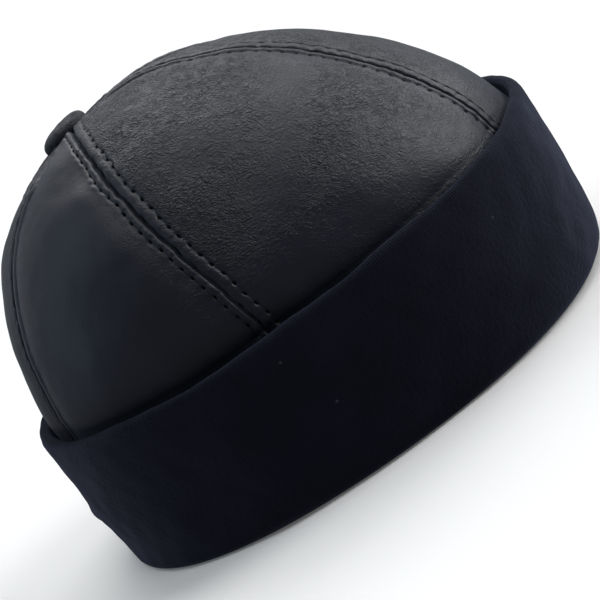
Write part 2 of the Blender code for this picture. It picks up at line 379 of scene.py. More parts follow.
def crease_edge(name, s, side):
    """How far (mm) a gore's edge stops from the seam's middle; side is +1 for the gore that
    begins there and -1 for the one that ends there."""
    p = crown_surface(seam_angle(name, s), s)
    return CREASE_GAP * (1 + 0.30 * open_edge(p)) + side * CREASE_SWAY * sway(p)


def valley(along, d):
    """The dip along a seam; none round the button, where the gores are narrow."""
    return VALLEY_DEPTH * step(along, 14.0, 62.0) * np.exp(-(d / VALLEY_WIDTH) ** 2)


def tuck(t, z):
    """How far the cuff's edge presses the leather in."""
    above = np.maximum(z - cuff_height(t), 0.0)
    return TUCK_DEPTH * (0.3 + 0.7 * np.sin(t) ** 2) * np.exp(-above / TUCK_REACH)


def seam_relief(d, along, reach, seed_field, points, bite=1.0):
    """Height (mm) of the leather at distance d from a seam's crease, `along` it, with the
    stitches at `reach`. The turned edges roll into the crease, the opened allowance lifts a
    rounded ridge, and the stitches pull a groove with pits at its foot."""
    v = seed_field(points)
    reach = reach + 0.12 * v
    ridge = (1 + 0.16 * v) * (0.3 + 0.7 * step(along, 6.0, 30.0))
    bite = bite * (0.5 + 0.5 * step(along, 8.0, 30.0))
    middle, half = reach * 0.49, reach * 0.55
    lift = np.clip(1 - np.abs((d - middle) / half) ** 2.2, 0, 1)
    h = RIDGE_HEIGHT * ridge * lift
    # each stitch draws a slanting fold over the ridge
    fold = 1 + 0.7 * pucker_size(points)
    slant = np.cos(2 * math.pi * (along + 0.30 * d) / STITCH_PITCH)
    h -= 0.14 * bite * fold * np.clip(slant, 0, 1) ** 2 * lift * step(d, 0.5, 1.6)
    h -= CREASE_DEPTH * np.exp(-(d / CREASE_WIDTH) ** 2)
    phase = np.cos(2 * math.pi * along / STITCH_PITCH)          # +1 where the thread bites in
    hole = np.clip(phase, 0, 1) ** 2
    off = (d - reach)
    h -= STITCH_SINK * bite * np.exp(-(off / 0.55) ** 2)
    h -= HOLE_DEPTH * bite * hole * np.exp(-(off / 0.50) ** 2)
    # puckers between them, mostly on the gore's side of the stitches
    h += 0.045 * (1 - phase) * np.exp(-((off - 1.15) / 0.75) ** 2) * fold * step(along, 10.0, 45.0)
    h += 0.035 * (1 - phase) * np.exp(-((off + 1.1) / 0.8) ** 2)
    h += 0.08 * np.exp(-((off - 1.6) / 1.4) ** 2)
    # and the small creases of a seam that was pulled tight
    h += 0.045 * crinkle(points) * np.exp(-((off + 0.3) / 2.6) ** 2)
    return h - valley(along, d)


def column_shares(width):
    """Shares across a gore, close together beside its seams."""
    marks = [0.0]
    while marks[-1] < width / 2:
        d = marks[-1]
        marks.append(d + (0.30 if d < 6.3 else min(0.30 + (d - 6.3) * 0.09, 1.15)))
    half = np.array(marks) / marks[-1] * 0.5
    return np.concatenate([half, 1 - half[-2::-1]])


def row_shares():
    fine = 0.45
    a = np.linspace(APEX_SHARE, 1.0, int(150 / fine))
    return np.concatenate([a, [1.05, 1.12, 1.25, 1.45, 1.7, 2.0]])


S_ROWS = row_shares()


def seam_length(name):
    """Length along a seam from the apex, at each row."""
    p = crown_surface(seam_angle(name, S_ROWS), S_ROWS)
    return np.concatenate([[0], np.cumsum(np.linalg.norm(np.diff(p, axis=0), axis=1))])


def gore(node, start, end):
    s = S_ROWS[:, None]
    a, b = seam_angle(start, s), seam_angle(end, s)
    b = np.where(b < a, b + 2 * math.pi, b)
    shares = column_shares(92.0)[None, :]
    # the gore's edge stops just short of the seam's middle
    gap_a, gap_b = crease_edge(start, s, 1), crease_edge(end, s, -1)
    t = (a + gap_a / speed(a, s)) * (1 - shares) + (b - gap_b / speed(b, s)) * shares
    ss = np.broadcast_to(s, t.shape)
    base = crown_surface(t, ss)
    normal = crown_normal(t, ss)
    across = np.linalg.norm(np.diff(base, axis=1), axis=-1)
    from_a = CREASE_GAP + np.concatenate([np.zeros((len(S_ROWS), 1)), np.cumsum(across, 1)], 1)
    from_b = CREASE_GAP + np.concatenate([np.cumsum(across[:, ::-1], 1)[:, ::-1],
                                          np.zeros((len(S_ROWS), 1))], 1)
    along_a, along_b = seam_length(start)[:, None], seam_length(end)[:, None]
    keep = 1 - step(ss, 0.985, 1.02) * 0.65            # the relief is pressed flat behind the cuff
    h = -crown_dent(t, ss) - hollow(base)
    h = h + 0.20 * undulate(base) + 0.035 * ripple(base)
    for name, side, far, along in ((start, "start", from_a, along_a), (end, "end", from_b, along_b)):
        h = h + keep * seam_relief(far, along, STITCH_FROM_CREASE[side], wobble, base,
                                   ROW_STRENGTH.get((name, side), 1.0))
    # pressed in along the cuff's edge, most at the sides
    h = h - tuck(t, base[..., 2]) * (1 - step(ss, 1.2, 1.6))
    h = np.where(ss > 1.0, np.minimum(h, 0.15), h)
    outer = base + normal * h[..., None]
    # the flesh side follows the dips, and inside the gores meet edge to edge, as sewn
    low = (-crown_dent(t, ss) - hollow(base) - keep * (valley(along_a, from_a) + valley(along_b, from_b))
           - tuck(t, base[..., 2]) * (1 - step(ss, 1.2, 1.6)))
    low = np.minimum(low - LEATHER, h - 0.25)
    # where the edges turn in, so the crease runs down steeply between them
    low = low - TURN_IN * np.exp(-(np.minimum(from_a, from_b) / 0.8) ** 2) * (1 - step(ss, 1.0, 1.3))
    meet_a, meet_b = a + MEET / speed(a, s), b - MEET / speed(b, s)
    t_in = meet_a * (1 - shares) + meet_b * shares
    inner = crown_surface(t_in, ss) + crown_normal(t_in, ss) * low[..., None]
    rows, cols = t.shape
    n = rows * cols
    ring = np.concatenate([np.arange(cols), cols * np.arange(1, rows) + cols - 1,
                           (rows - 1) * cols + np.arange(cols - 2, -1, -1),
                           cols * np.arange(rows - 2, 0, -1)])
    # the inner face has every fourth row and column; its border keeps them all
    ri = np.unique(np.concatenate([np.arange(0, rows, 5), [rows - 1]]))
    ci = np.unique(np.concatenate([np.arange(0, cols, 5), [cols - 1]]))
    sub = inner[np.ix_(ri, ci)]
    sub_rows, sub_cols = len(ri), len(ci)
    verts = np.concatenate([outer.reshape(-1, 3), sub.reshape(-1, 3)])
    faces = [grid_faces(rows, cols), grid_faces(sub_rows, sub_cols, base=n, flip=True)]

    def side(outer_ids, inner_ids, marks):
        """Triangles between the fine outer border and the coarse inner border."""
        tri = []
        for k in range(len(marks) - 1):
            lo, hi = marks[k], marks[k + 1]
            mid = (lo + hi) // 2
            for m in range(lo, hi):
                tri.append((outer_ids[m], outer_ids[m + 1], inner_ids[k if m < mid else k + 1]))
            tri.append((outer_ids[mid], inner_ids[k + 1], inner_ids[k]))
        return np.array(tri)

    left = side(np.arange(rows) * cols, n + np.arange(sub_rows) * sub_cols, ri)
    right = side(np.arange(rows) * cols + cols - 1, n + np.arange(sub_rows) * sub_cols + sub_cols - 1, ri)
    top = side(np.arange(cols), n + np.arange(sub_cols), ci)
    bottom = side((rows - 1) * cols + np.arange(cols), n + (sub_rows - 1) * sub_cols + np.arange(sub_cols), ci)
    faces += [left[:, ::-1], right, top, bottom[:, ::-1]]
    obj = new_object(node.replace("crown_panel", "gore"), verts, faces)
    coords = np.zeros((len(verts), 3))
    width = from_a + from_b
    coords[:n, 0] = ((from_a - width / 2)).ravel()
    coords[:n, 1] = np.broadcast_to((along_a + along_b) / 2, t.shape).ravel()
    coords[n:, 0] = ((from_a - width / 2))[np.ix_(ri, ci)].ravel()
    coords[n:, 1] = np.broadcast_to((along_a + along_b) / 2, t.shape)[np.ix_(ri, ci)].ravel()
    coords[:, 2] = 60.0 * [row[0] for row in PANELS].index(node)      # each gore its own hide
    vector_attribute(obj, "gore_mm", coords)
    near = np.minimum(np.abs(from_a), np.abs(from_b))
    seam = np.concatenate([near.ravel(), near[np.ix_(ri, ci)].ravel()])
    float_attribute(obj, "seam_mm", seam)
    turned = np.degrees(t)
    soft = np.maximum(step(abs(wrap(turned)), 88.0, 106.0) * 0.90,       # the nape side
                      step(ss, 0.62, 0.94) * 0.78)                       # down to the cuff
    soft = np.maximum(soft, 0.75 * np.exp(-(band_distance(base, SMOOTH_BAND) / 12.0) ** 2))
    smooth = np.concatenate([soft.ravel(), soft[np.ix_(ri, ci)].ravel()])
    float_attribute(obj, "smooth", smooth)
    flesh = np.concatenate([np.zeros(n), np.ones(sub_rows * sub_cols)])
    float_attribute(obj, "flesh", flesh)
    return obj, outer, t, ss, from_a, from_b


# =========================================================================================
# stitches: short thread capsules that dive into their needle holes
# =========================================================================================
def seam_surface_at(name, side, reach, along):
    """Point, normal, lift of the relief and share on the base surface beside a seam."""
    lengths = seam_length(name)
    s = np.interp(along, lengths, S_ROWS)
    a = seam_angle(name, s)
    v = wobble(crown_surface(a, s))
    t = a + side * (reach + 0.12 * v) / speed(a, s)
    p, n = crown_surface(t, s), crown_normal(t, s)
    dent = crown_dent(t, s)
    lift = (0.20 * undulate(p) + 0.035 * ripple(p) - dent - hollow(p)
            - valley(along, reach) - tuck(t, p[:, 2]))
    return p, n, lift, s


def stitches(name, side, reach, bite):
    total = seam_length(name)[np.searchsorted(S_ROWS, 1.0) - 1]
    first = math.ceil(11.0 / STITCH_PITCH)
    last = int((total - 0.5) / STITCH_PITCH)
    verts, faces = [], []
    rings, sides = 9, 8
    count = 0
    rng = np.random.default_rng(int(abs(SEAMS[name][0]) * 10) + side)
    for k in range(first, last):
        u = np.linspace(0, 1, rings)
        share = THREAD_SHARE * rng.uniform(0.8, 1.25)
        along = (k + rng.uniform(-0.04, 0.04) + share * (u - 0.5)) * STITCH_PITCH
        p, n, lift, s = seam_surface_at(name, side, reach + 0.40 * (u - 0.5), along)
        # the thread lies in its pit and dives at both ends
        arch = np.sin(math.pi * u) ** 0.6
        height = lift - 0.85 + 0.60 * arch - 0.16 * (1 - min(bite, 1.0)) - 0.25 * max(bite - 1.0, 0.0)
        c = p + n * height[:, None]
        tangent = np.gradient(c, axis=0)
        tangent /= np.linalg.norm(tangent, axis=1)[:, None]
        b = np.cross(tangent, n)
        b /= np.linalg.norm(b, axis=1)[:, None]
        m = np.cross(b, tangent)
        radius = THREAD_R * (0.35 + 0.65 * np.sin(math.pi * u) ** 0.35)
        ang = 2 * math.pi * np.arange(sides) / sides
        ring = (c[:, None] + radius[:, None, None]
                * (np.cos(ang)[None, :, None] * b[:, None] * 1.15 + np.sin(ang)[None, :, None] * m[:, None]))
        base = count
        verts.append(ring.reshape(-1, 3))
        verts.append(c[[0, -1]])
        faces.append(grid_faces(rings, sides, base=base, closed=True))
        j = np.arange(sides)
        faces.append(np.stack([base + j, base + (j + 1) % sides, np.full(sides, base + rings * sides)], -1))
        e = base + (rings - 1) * sides
        faces.append(np.stack([e + (j + 1) % sides, e + j, np.full(sides, base + rings * sides + 1)], -1))
        count += rings * sides + 2
    return np.concatenate(verts), faces


# =========================================================================================
# the knit cuff
# =========================================================================================
def cuff_height(t):
    return CUFF_HEIGHT + by_direction(t, CUFF_RISE_FRONT, 0.0, CUFF_RISE_BACK)


def cuff_dent(t, z):
    total = 0.0
    for angle, height, depth, along, up in CUFF_DENTS:
        arc = np.radians(wrap(np.degrees(t) - angle)) * 103.0
        total = total + depth * np.exp(-(arc / along) ** 2 - ((z - height) / up) ** 2)
    return total * step(z, 0.0, 4.0) * (1 - step(z, 52.0, 60.0))


def cuff_points(t, depth, z):
    d = depth + cuff_dent(t, z)
    x, y = plan(t, face_front(z) - d, face_back(z) - d, face_side(z) - d, CUFF_PLAN_BULGE)
    return np.stack([x, y, z], -1)


def cuff():
    """The folded knit band: rim, outer face, top fold, slit, inner leg."""
    cols = 720
    t = 2 * math.pi * np.arange(cols) / cols
    leg, fold, rim = (by_direction(t, *(row[i] for row in CUFF_LEG)) for i in (1, 2, 3))
    top = cuff_height(t)
    inside = leg + SLOT + INNER_LEG
    r = fold / 2
    one = np.ones(cols)
    stations = []                                   # (depth, z) per column, rim outwards
    for a in np.radians(np.linspace(90, 0, 9)):
        stations.append((rim * (1 - math.cos(a)), rim * (1 - math.sin(a))))
    low, high = rim, top - r * 1.05
    for q in np.linspace(0, 1, 34)[1:-1]:
        stations.append((0 * one, low + (high - low) * q))
    for a in np.radians(np.linspace(0, 180, 17)):
        stations.append((r * (1 - math.cos(a)), top - r * 1.05 * (1 - math.sin(a))))
    z0 = top - r * 1.05
    for q in np.linspace(0, 1, 7)[1:]:
        z = z0 * (1 - q) + SLOT_FLOOR * q
        stations.append((fold * (1 - step(q, 0, 0.5)) + leg * step(q, 0, 0.5), z))
    stations.append((leg + SLOT * 0.5, (SLOT_FLOOR - 0.35) * one))
    ledge = LEATHER_LOW_Z - BUTT_GAP
    for q in np.linspace(0, 1, 6):
        stations.append((leg + SLOT, SLOT_FLOOR * (1 - q) + (ledge - 0.6) * q + 0 * one))
    stations.append((leg + SLOT + 0.6, ledge * one))
    stations.append((leg + SLOT + INNER_LEG / 2, ledge * one))
    stations.append((inside - 0.6, ledge * one))
    for q in np.linspace(0, 1, 12):
        stations.append((inside, (ledge - 0.6) * (1 - q) + INNER_ROUND * q + 0 * one))
    for a in np.radians((30, 60, 90)):
        stations.append((inside - INNER_ROUND * (1 - math.cos(a)), INNER_ROUND * (1 - math.sin(a)) * one))
    depth = np.array([d for d, _ in stations])
    z = np.array([zz for _, zz in stations])
    tt = np.broadcast_to(t, depth.shape)
    p = cuff_points(tt, depth, z)
    nxt, prv = np.roll(p, -1, 0), np.roll(p, 1, 0)
    around = np.roll(p, -1, 1) - np.roll(p, 1, 1)
    normal = np.cross(around, nxt - prv)
    normal /= np.linalg.norm(normal, axis=-1, keepdims=True)
    # the cloth's own unevenness; none where it stands on the floor
    free = step(z, 0.4, 5.0)
    soft = 0.30 * Waves(21, 26.0, 70.0)(p) + 0.10 * Waves(22, 9.0, 20.0, 36)(p)
    p = p + normal * (soft * free)[..., None]
    rows = len(stations)
    faces = [grid_faces(rows, cols, closed=True, flip=True)]
    j = np.arange(cols)
    k = (j + 1) % cols
    faces.append(np.stack([(rows - 1) * cols + k, k, j, (rows - 1) * cols + j], -1))
    obj = new_object("knit_cuff", p.reshape(-1, 3), faces)
    # cloth coordinates: wales round the band, courses along the fold
    round_mm = 2 * math.pi * 103.0
    courses = np.cumsum(np.concatenate([np.zeros((1, cols)),
                                        np.linalg.norm(np.diff(p, axis=0), axis=-1)]), 0)
    wales = np.broadcast_to(t / (2 * math.pi) * round_mm, courses.shape)
    ang = np.broadcast_to(t, courses.shape)
    vector_attribute(obj, "knit_mm", np.stack([wales, courses, 0 * courses], -1))
    ribs = 516.0
    vector_attribute(obj, "knit_wale", np.stack([np.cos(ang * 1.0), np.sin(ang * 1.0), courses / 100], -1))
    fold_amount = step(z, top - 6.0, top - 1.5) * (depth < leg + SLOT * 0.5)
    float_attribute(obj, "fold", fold_amount)
    return obj


# =========================================================================================
# the button
# =========================================================================================
def button():
    apex = crown_surface(0.0, 1e-3)
    up = sum(crown_normal(math.radians(a), 0.02) for a in range(0, 360, 30))
    up /= np.linalg.norm(up)
    left = np.array([1.0, 0, 0])
    left -= up * left.dot(up)
    left /= np.linalg.norm(left)
    back = np.cross(up, left)
    rows, heights = [], []
    for s in (0.03, 0.06, 0.09, 0.12, 0.15):
        for a in range(0, 360, 15):
            q = crown_surface(math.radians(a), s) - apex
            u, v = q.dot(left), q.dot(back)
            rows.append((1, u, v, u * u, u * v, v * v))
            heights.append(q.dot(up))
    coef = np.linalg.lstsq(np.array(rows), np.array(heights), rcond=None)[0]

    def ground(u, v):
        return coef[0] + coef[1] * u + coef[2] * v + coef[3] * u * u + coef[4] * u * v + coef[5] * v * v

    steps = 96
    ang = 2 * math.pi * np.arange(steps) / steps
    lines = []                                     # share of the radius, height
    for q in np.linspace(0.04, 0.93, 9):
        lines.append((q, BUTTON_GAP))
    lines += [(0.965, BUTTON_GAP + 0.10), (0.99, BUTTON_GAP + 0.36)]
    for a in np.radians(np.linspace(0, 88, 26)):
        lines.append((math.cos(a) ** 0.62, BUTTON_GAP + 0.8 + (BUTTON_H - 0.8) * math.sin(a) ** 0.9))
    wave = Waves(31, 3.0, 8.0, 24)
    rings = []
    for share, height in lines:
        r = BUTTON_R * share
        u, v = BUTTON_LEFT + r * np.cos(ang), BUTTON_BACK + r * np.sin(ang)
        g = ground(u, v)
        rim = np.exp(-((share - 0.97) / 0.10) ** 2) * (height > BUTTON_GAP + 0.05)
        pleat = 0.07 * rim * np.sin(ang * 23 + 1.1 * np.sin(ang * 3))
        q = (apex + left * u[:, None] + back * v[:, None] + up * (g + height + pleat)[:, None])
        lumps = 0.05 * wave(q) * (height > BUTTON_GAP + 0.5)
        rings.append(q + up * lumps[:, None])
    verts = np.concatenate(rings)
    faces = [grid_faces(len(rings), steps, closed=True, flip=True)]
    lowc = rings[0].mean(0)
    highc = rings[-1].mean(0)
    n = len(verts)
    verts = np.concatenate([verts, [lowc], [highc]])
    j = np.arange(steps)
    k = (j + 1) % steps
    faces.append(np.stack([j, np.full(steps, n), k], -1)[:, ::-1])
    e = (len(rings) - 1) * steps
    faces.append(np.stack([e + j, e + k, np.full(steps, n + 1)], -1))
    obj = new_object("covered_button", verts, faces)
    return obj


# =========================================================================================
# materials
# =========================================================================================
class Tree:
    def __init__(self, name):
        self.mat = bpy.data.materials.new(name)
        self.mat.use_nodes = True
        self.nodes = self.mat.node_tree.nodes
        self.links = self.mat.node_tree.links
        self.shader = self.nodes["Principled BSDF"]

    def add(self, kind, inputs=None, **props):
        node = self.nodes.new(kind)
        for k, v in props.items():
            setattr(node, k, v)
        for k, v in (inputs or {}).items():
            if isinstance(v, bpy.types.NodeSocket):
                self.links.new(v, node.inputs[k])
            else:
                node.inputs[k].default_value = v
        return node

    def maths(self, operation, a, b=None, c=None):
        node = self.add("ShaderNodeMath", operation=operation)
        for i, v in enumerate((a, b, c)):
            if v is None:
                continue
            if isinstance(v, bpy.types.NodeSocket):
                self.links.new(v, node.inputs[i])
            else:
                node.inputs[i].default_value = v
        return node.outputs[0]

    def ramp(self, fac, stops):
        node = self.add("ShaderNodeValToRGB", {"Fac": fac})
        e = node.color_ramp.elements
        while len(e) < len(stops):
            e.new(0.5)
        for item, (pos, col) in zip(e, stops):
            item.position = pos
            item.color = (*col, 1.0) if len(col) == 3 else col
        return node.outputs["Color"]

    def span(self, value, a, b, c, d):
        node = self.add("ShaderNodeMapRange", {"Value": value, "From Min": a, "From Max": b,
                                               "To Min": c, "To Max": d})
        return node.outputs["Result"]


def leather_material(name, tint=(0.0042, 0.0054, 0.0125), grain=1.0, gore=True, gloss=0.39,
                     rough_range=(0.33, 0.28)):
    m = Tree(name)
    obj_mm = m.add("ShaderNodeVectorMath", {0: m.add("ShaderNodeTexCoord").outputs["Object"],
                                            "Scale": 1000.0}, operation="SCALE").outputs[0]
    if gore:
        mm = m.add("ShaderNodeAttribute", attribute_name="gore_mm").outputs["Vector"]
    else:
        mm = obj_mm
    # slow drift of the dyed hide
    cloud = m.add("ShaderNodeTexNoise", {"Vector": mm, "Scale": 0.034, "Detail": 3.0, "Roughness": 0.55})
    base = m.ramp(cloud.outputs["Fac"], [(0.30, tuple(c * 0.86 for c in tint)), (0.70, tuple(c * 1.16 for c in tint))])
    # grain: fine wrinkles and pebbles, bent by a slow warp
    warp = m.add("ShaderNodeTexNoise", {"Vector": mm, "Scale": 0.11, "Detail": 2.0, "Roughness": 0.5})
    bent = m.add("ShaderNodeVectorMath", {0: warp.outputs["Color"], 1: (0.5, 0.5, 0.5)}, operation="SUBTRACT")
    bent = m.add("ShaderNodeVectorMath", {0: bent.outputs[0], "Scale": 7.0}, operation="SCALE")
    where = m.add("ShaderNodeVectorMath", {0: mm, 1: bent.outputs[0]}, operation="ADD").outputs[0]

    jag = m.add("ShaderNodeTexNoise", {"Vector": mm, "Scale": 0.55, "Detail": 2.0, "Roughness": 0.5})
    jag = m.add("ShaderNodeVectorMath", {0: jag.outputs["Color"], 1: (0.5, 0.5, 0.5)}, operation="SUBTRACT")
    jag = m.add("ShaderNodeVectorMath", {0: jag.outputs[0], "Scale": 1.7}, operation="SCALE")
    where = m.add("ShaderNodeVectorMath", {0: where, 1: jag.outputs[0]}, operation="ADD").outputs[0]
    # creases come and go
    deep = m.add("ShaderNodeTexNoise", {"Vector": mm, "Scale": 0.30, "Detail": 2.0, "Roughness": 0.55})
    deep = m.span(deep.outputs["Fac"], 0.36, 0.62, 0.30, 1.0)

    def wrinkles(stretch):
        """Pebbles between fine creases, drawn out by the stretch (across, along)."""
        v = m.add("ShaderNodeVectorMath", {0: where, 1: (*stretch, 1.0)}, operation="MULTIPLY").outputs[0]
        cells = m.add("ShaderNodeTexVoronoi", {"Vector": v, "Scale": 0.58, "Randomness": 1.0},
                      feature="DISTANCE_TO_EDGE")
        pebble = m.span(cells.outputs["Distance"], 0.0, 0.24, 0.0, 1.0)
        line = m.span(cells.outputs["Distance"], 0.03, 0.17, 1.0, 0.0)
        small = m.add("ShaderNodeTexVoronoi", {"Vector": v, "Scale": 1.25, "Randomness": 1.0},
                      feature="DISTANCE_TO_EDGE")
        small_line = m.span(small.outputs["Distance"], 0.03, 0.16, 0.55, 0.0)
        small = m.span(small.outputs["Distance"], 0.0, 0.30, 0.0, 1.0)
        height = m.maths("ADD", m.maths("MULTIPLY", m.maths("MULTIPLY", pebble, deep), 0.72),
                         m.maths("MULTIPLY", small, 0.28))
        return height, m.maths("MAXIMUM", line, small_line)

    split = m.add("ShaderNodeSeparateXYZ", {0: mm})
    # radial near the top of the head, along the cuff lower down
    drift = m.maths("MULTIPLY", m.maths("SUBTRACT", cloud.outputs["Fac"], 0.5), 60.0)
    place = m.maths("ADD", split.outputs["Y"], drift)
    turn = m.span(place, 45.0, 90.0, 0.0, 1.0)
    (radial, radial_line), (level, level_line) = wrinkles((1.15, 0.72)), wrinkles((0.86, 1.02))
    unturned = m.maths("SUBTRACT", 1.0, turn)
    height = m.maths("ADD", m.maths("MULTIPLY", radial, unturned), m.maths("MULTIPLY", level, turn))
    lines = m.maths("ADD", m.maths("MULTIPLY", radial_line, unturned),
                    m.maths("MULTIPLY", level_line, turn))
    fine = m.add("ShaderNodeTexNoise", {"Vector": obj_mm, "Scale": 2.4, "Detail": 2.0, "Roughness": 0.6})
    height = m.maths("ADD", height, m.maths("MULTIPLY", fine.outputs["Fac"], 0.18))
    # some parts of the hide are smoother, and so are the rolled seams
    patch = m.add("ShaderNodeTexNoise", {"Vector": mm, "Scale": 0.045, "Detail": 2.0, "Roughness": 0.5})
    amount = m.span(patch.outputs["Fac"], 0.34, 0.58, 0.55, 1.0)
    if gore:
        seam = m.add("ShaderNodeAttribute", attribute_name="seam_mm").outputs["Fac"]
        amount = m.maths("MULTIPLY", amount, m.span(seam, 4.5, 9.0, 0.35, 1.0))
        smooth = m.add("ShaderNodeAttribute", attribute_name="smooth").outputs["Fac"]
        amount = m.maths("MULTIPLY", amount, m.maths("SUBTRACT", 1.0, smooth))
    height = m.maths("MULTIPLY", height, amount)
    bump = m.add("ShaderNodeBump", {"Height": height, "Strength": 1.0, "Distance": 0.00056 * grain})
    m.links.new(bump.outputs["Normal"], m.shader.inputs["Normal"])
    # the creases between the pebbles are dull (rougher), and their base colour is darkened there as painted shade
    crease_dull_and_painted_shade = m.maths("MULTIPLY", m.maths("MULTIPLY", lines, deep), amount)
    base = m.add("ShaderNodeVectorMath", {0: base, "Scale": m.span(crease_dull_and_painted_shade, 0.0, 0.8, 1.08, 0.2)},
                 operation="SCALE").outputs[0]
    m.links.new(base, m.shader.inputs["Base Color"])
    rough = m.span(cloud.outputs["Fac"], 0.2, 0.8, *rough_range)
    rough = m.maths("ADD", rough, m.maths("MULTIPLY", crease_dull_and_painted_shade, 0.55))
    # the smooth parts have a finer tooth, which dulls them as much as the grain does
    rough = m.maths("ADD", rough, m.maths("MULTIPLY", m.maths("SUBTRACT", 1.0, amount), 0.09))
    m.links.new(rough, m.shader.inputs["Roughness"])
    m.shader.inputs["Specular IOR Level"].default_value = gloss
    m.shader.inputs["Sheen Weight"].default_value = 0.10
    m.shader.inputs["Sheen Roughness"].default_value = 0.5
    m.shader.inputs["Sheen Tint"].default_value = (0.75, 0.85, 1.0, 1.0)
    return m.mat


def thread_material():
    m = Tree("thread")
    co = m.add("ShaderNodeTexCoord").outputs["Object"]
    twist = m.add("ShaderNodeTexNoise", {"Vector": co, "Scale": 2600.0, "Detail": 1.0})
    base = m.ramp(twist.outputs["Fac"], [(0.35, (0.0010, 0.0010, 0.0016)), (0.65, (0.0026, 0.0026, 0.0036))])
    m.links.new(base, m.shader.inputs["Base Color"])
    bump = m.add("ShaderNodeBump", {"Height": twist.outputs["Fac"], "Strength": 0.5, "Distance": 0.0001})
    m.links.new(bump.outputs["Normal"], m.shader.inputs["Normal"])
    m.shader.inputs["Roughness"].default_value = 0.85
    m.shader.inputs["Specular IOR Level"].default_value = 0.06
    return m.mat


def knit_material():
    m = Tree("knit")
    co = m.add("ShaderNodeTexCoord").outputs["Object"]
    cloth = m.add("ShaderNodeAttribute", attribute_name="knit_mm").outputs["Vector"]
    split = m.add("ShaderNodeSeparateXYZ", {0: cloth})
    wale, course = split.outputs["X"], split.outputs["Y"]
    # wales: a rounded rib every 1.25 mm, each made of slanted loops
    turn = 2 * math.pi / 0.90
    rib = m.maths("COSINE", m.maths("MULTIPLY", wale, turn))
    rib_h = m.span(rib, -1.0, 1.0, 0.0, 1.0)
    zig = m.maths("ABSOLUTE", m.maths("SINE", m.maths("MULTIPLY", wale, turn / 2)))
    loop = m.maths("SINE", m.maths("ADD", m.maths("MULTIPLY", course, 2 * math.pi / 0.80),
                                   m.maths("MULTIPLY", zig, 2.4)))
    loop_h = m.span(loop, -1.0, 1.0, 0.0, 1.0)
    fuzz = m.add("ShaderNodeTexNoise", {"Vector": co, "Scale": 1400.0, "Detail": 3.0, "Roughness": 0.7})
    # stretched over the fold the ribs open; on the face the brushed surface covers them
    fold = m.add("ShaderNodeAttribute", attribute_name="fold").outputs["Fac"]
    ragged = m.add("ShaderNodeTexNoise", {"Vector": co, "Scale": 160.0, "Detail": 2.0})
    opened = m.maths("MULTIPLY", fold, m.span(ragged.outputs["Fac"], 0.3, 0.7, 0.55, 1.25))
    rib_amount = m.span(opened, 0.0, 1.0, 0.02, 0.75)
    height = m.maths("MULTIPLY", m.maths("ADD", m.maths("MULTIPLY", rib_h, 0.62), m.maths("MULTIPLY", loop_h, 0.30)),
                     rib_amount)
    nap = m.add("ShaderNodeTexNoise", {"Vector": co, "Scale": 520.0, "Detail": 2.0, "Roughness": 0.6})
    height = m.maths("ADD", height, m.maths("MULTIPLY", fuzz.outputs["Fac"], 0.55))
    height = m.maths("ADD", height, m.maths("MULTIPLY", nap.outputs["Fac"], 0.80))
    bump = m.add("ShaderNodeBump", {"Height": height, "Strength": 0.75, "Distance": 0.00045})
    m.links.new(bump.outputs["Normal"], m.shader.inputs["Normal"])
    cloud = m.add("ShaderNodeTexNoise", {"Vector": co, "Scale": 40.0, "Detail": 3.0, "Roughness": 0.6})
    dark, light = (0.0004, 0.0007, 0.0030), (0.0026, 0.0032, 0.0088)
    shade = m.maths("ADD", m.maths("MULTIPLY", cloud.outputs["Fac"], 0.6), m.maths("MULTIPLY", fuzz.outputs["Fac"], 0.4))
    base = m.ramp(shade, [(0.25, dark), (0.75, light)])
    # a few specks of lint
    lint = m.add("ShaderNodeTexVoronoi", {"Vector": co, "Scale": 95.0, "Randomness": 1.0}, feature="F1")
    speck = m.maths("LESS_THAN", lint.outputs["Distance"], 0.045)
    pick = m.add("ShaderNodeSeparateColor", {0: lint.outputs["Color"]}).outputs[0]
    speck = m.maths("MULTIPLY", speck, m.maths("GREATER_THAN", pick, 0.80))
    mix = m.add("ShaderNodeMix", data_type="RGBA")
    m.links.new(speck, mix.inputs["Factor"])
    m.links.new(base, mix.inputs[6])
    mix.inputs[7].default_value = (0.03, 0.03, 0.035, 1)
    m.links.new(mix.outputs[2], m.shader.inputs["Base Color"])
    m.shader.inputs["Roughness"].default_value = 0.92
    m.shader.inputs["Specular IOR Level"].default_value = 0.13
    m.shader.inputs["Sheen Weight"].default_value = 0.165
    m.shader.inputs["Sheen Roughness"].default_value = 0.50
    m.shader.inputs["Sheen Tint"].default_value = (0.38, 0.43, 0.72, 1.0)
    return m.mat


def floor_material():
    m = Tree("floor")
    co = m.add("ShaderNodeTexCoord").outputs["Object"]
    n = m.add("ShaderNodeTexNoise", {"Vector": co, "Scale": 3.0, "Detail": 2.0})
    base = m.ramp(n.outputs["Fac"], [(0.3, (0.90, 0.90, 0.90)), (0.7, (0.92, 0.92, 0.92))])
    m.links.new(base, m.shader.inputs["Base Color"])
    m.shader.inputs["Roughness"].default_value = 0.8
    m.shader.inputs["Specular IOR Level"].default_value = 0.2
    m.shader.inputs["Emission Color"].default_value = (1.0, 1.0, 1.0, 1.0)
    m.shader.inputs["Emission Strength"].default_value = 0.07
    return m.mat


# =========================================================================================
# the camera
# =========================================================================================
CAMERA = {
    "elevation": 13.93, "azimuth": 5.09, "roll": -35.89, "distance": 806.2,
    "focal_px": 2140.3, "aim": (0.0, 1.9, 42.7),
}


